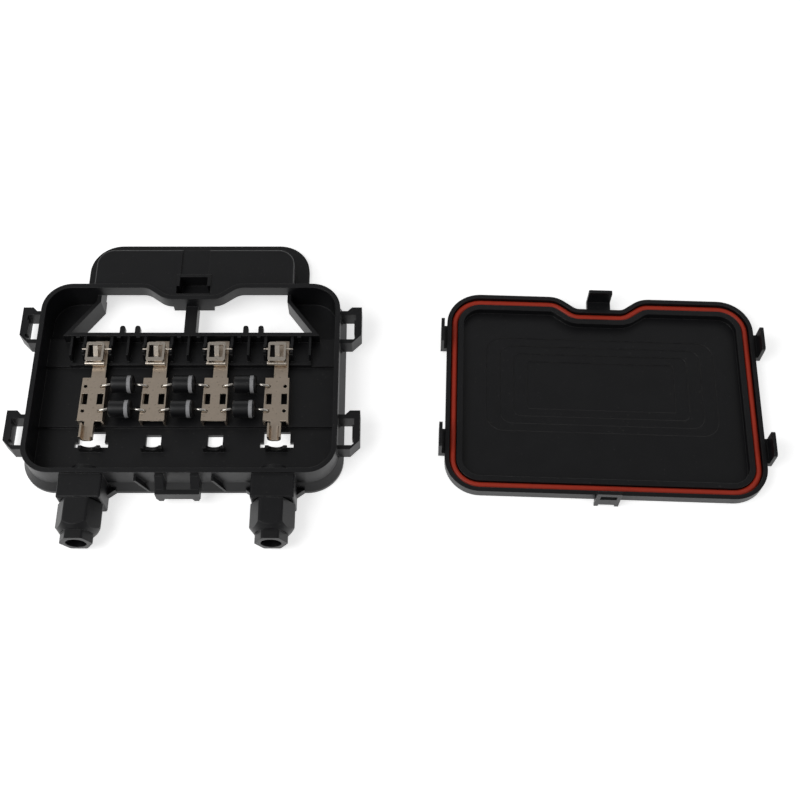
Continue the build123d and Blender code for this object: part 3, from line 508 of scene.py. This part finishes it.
class JUNCTION_OT_stage(bpy.types.Operator):
    """Add the floor with its curved backdrop, the lamps, the surroundings and the camera"""
    bl_idname = "junction.stage"
    bl_label = "Stage and Camera"

    def execute(self, context):
        stage = looks(context).stage
        low, high = CAD_BOX
        middle = (low + high) / 2
        self.add_floor(stage, low.z)
        self.add_surroundings(context, stage)
        self.add_lamp("key_lamp", stage.key, middle + KEY_OFFSET, middle)
        self.add_lamp("fill_lamp", stage.fill, middle + FILL_OFFSET, middle)
        self.add_camera(context, stage)
        return {"FINISHED"}

    @staticmethod
    def add_floor(stage, height):
        """A floor that runs level and then curves up.

        Its section is a flat line, a quarter circle and an upright line, drawn out sideways.
        """
        across = np.linspace(-FLOOR_REACH, FLOOR_REACH, 9)
        turn = np.linspace(0.0, math.pi / 2, 25)
        level = [-FLOOR_REACH, -1.0, 0.0, 1.2]
        curve_y = CURVE_START + CURVE_RADIUS * np.sin(turn)
        curve_z = CURVE_RADIUS * (1 - np.cos(turn))
        y = np.concatenate([level, curve_y, [CURVE_START + CURVE_RADIUS]])
        z = np.concatenate([np.zeros(len(level)), curve_z, [FLOOR_REACH]]) + height
        grid_x, grid_y = np.meshgrid(across, y, indexing="ij")
        grid_z = np.broadcast_to(z, grid_x.shape)
        points = np.stack([grid_x, grid_y, grid_z], -1)
        floor = surface("floor", points)
        floor.data.materials.append(backdrop_material(stage))

    @staticmethod
    def add_surroundings(context, stage):
        """A plain even world."""
        world = bpy.data.worlds.new("surroundings")
        context.scene.world = world
        world.use_nodes = True
        background = world.node_tree.nodes["Background"]
        background.inputs["Color"].default_value = (1.0, 1.0, 1.0, 1.0)
        background.inputs["Strength"].default_value = stage.sky

    @staticmethod
    def add_lamp(name, power, place, target):
        """A square soft lamp that faces a point."""
        data = bpy.data.lights.new(name, "AREA")
        data.energy = power
        data.size = LAMP_SIZE
        lamp = bpy.data.objects.new(name, data)
        lamp.location = place
        lamp.rotation_euler = (target - place).to_track_quat("-Z", "Y").to_euler()
        bpy.context.scene.collection.objects.link(lamp)

    @staticmethod
    def add_camera(context, stage):
        """A camera in front of the point it looks at and above it, at the stage's elevation and distance."""
        target = Vector(stage.aim)
        data = bpy.data.cameras.new("camera")
        data.lens = stage.lens
        camera = bpy.data.objects.new("camera", data)
        back = Vector((0, -math.cos(stage.elevation), math.sin(stage.elevation)))
        camera.location = target + back * stage.distance
        camera.rotation_euler = (-back).to_track_quat("-Z", "Y").to_euler()
        context.scene.collection.objects.link(camera)
        context.scene.camera = camera
        context.scene.view_settings.view_transform = "Standard"


def backdrop_material(stage):
    """A pale matt floor that keeps shadows and looks white.

    The glow that makes it white shows only to the camera, in gloss and through clear pieces.
    """
    paint = Paint("backdrop")
    shade = paint.noise(400.0, 2.0)
    base = paint.mix(shade * 0.2, stage.floor, [v * 0.99 for v in stage.floor])
    rays = paint.add("ShaderNodeLightPath", {}, {}, None)
    seen = Wire(paint, rays.outputs["Is Camera Ray"]).most(Wire(paint, rays.outputs["Is Glossy Ray"]))
    seen = seen.most(Wire(paint, rays.outputs["Is Transmission Ray"]))
    glow = paint.mix(seen, (0.0, 0.0, 0.0), [stage.glow] * 3)
    return paint.finish(Base_Color=base, Roughness=0.9, Emission_Color=glow, Emission_Strength=1.0)


def surface(name, points, close_u=False, close_v=False):
    """An object from a grid of points.

    Each cell becomes a face, and a closed direction joins its last row to its first.
    """
    rows, columns = points.shape[:2]
    u = np.arange(rows if close_u else rows - 1)
    v = np.arange(columns if close_v else columns - 1)
    grid_u, grid_v = np.meshgrid(u, v, indexing="ij")
    next_u, next_v = (grid_u + 1) % rows, (grid_v + 1) % columns
    faces = np.stack([
        grid_u * columns + grid_v, next_u * columns + grid_v,
        next_u * columns + next_v, grid_u * columns + next_v], -1)
    mesh = bpy.data.meshes.new(name)
    mesh.from_pydata(points.reshape(-1, 3), [], faces.reshape(-1, 4).tolist())
    mesh.shade_smooth()
    made = bpy.data.objects.new(name, mesh)
    bpy.context.scene.collection.objects.link(made)
    return made


class JUNCTION_PT_panel(bpy.types.Panel):
    """Buttons for the pieces and the stage"""
    bl_idname = "JUNCTION_PT_panel"
    bl_label = "Junction Box"
    bl_space_type = "VIEW_3D"
    bl_region_type = "UI"
    bl_category = "Junction Box"

    def draw(self, context):
        for operator in OPERATORS:
            self.layout.operator(operator.bl_idname)


OPERATORS = (
    JUNCTION_OT_housing, JUNCTION_OT_lid, JUNCTION_OT_contacts, JUNCTION_OT_diodes, JUNCTION_OT_glands,
    JUNCTION_OT_stage,
)
CLASSES = (PlasticLook, MetalLook, RubberLook, StageLook, Looks, *OPERATORS, JUNCTION_PT_panel)


def register():
    for made in CLASSES:
        bpy.utils.register_class(made)
    bpy.types.Scene.junction_box_looks = bpy.props.PointerProperty(type=Looks)


def unregister():
    del bpy.types.Scene.junction_box_looks
    for made in reversed(CLASSES):
        bpy.utils.unregister_class(made)


def main():
    register()
    bpy.ops.junction.housing()
    bpy.ops.junction.lid()
    bpy.ops.junction.contacts()
    bpy.ops.junction.diodes()
    bpy.ops.junction.glands()
    bpy.ops.junction.stage()


if __name__ == "__main__":
    main()
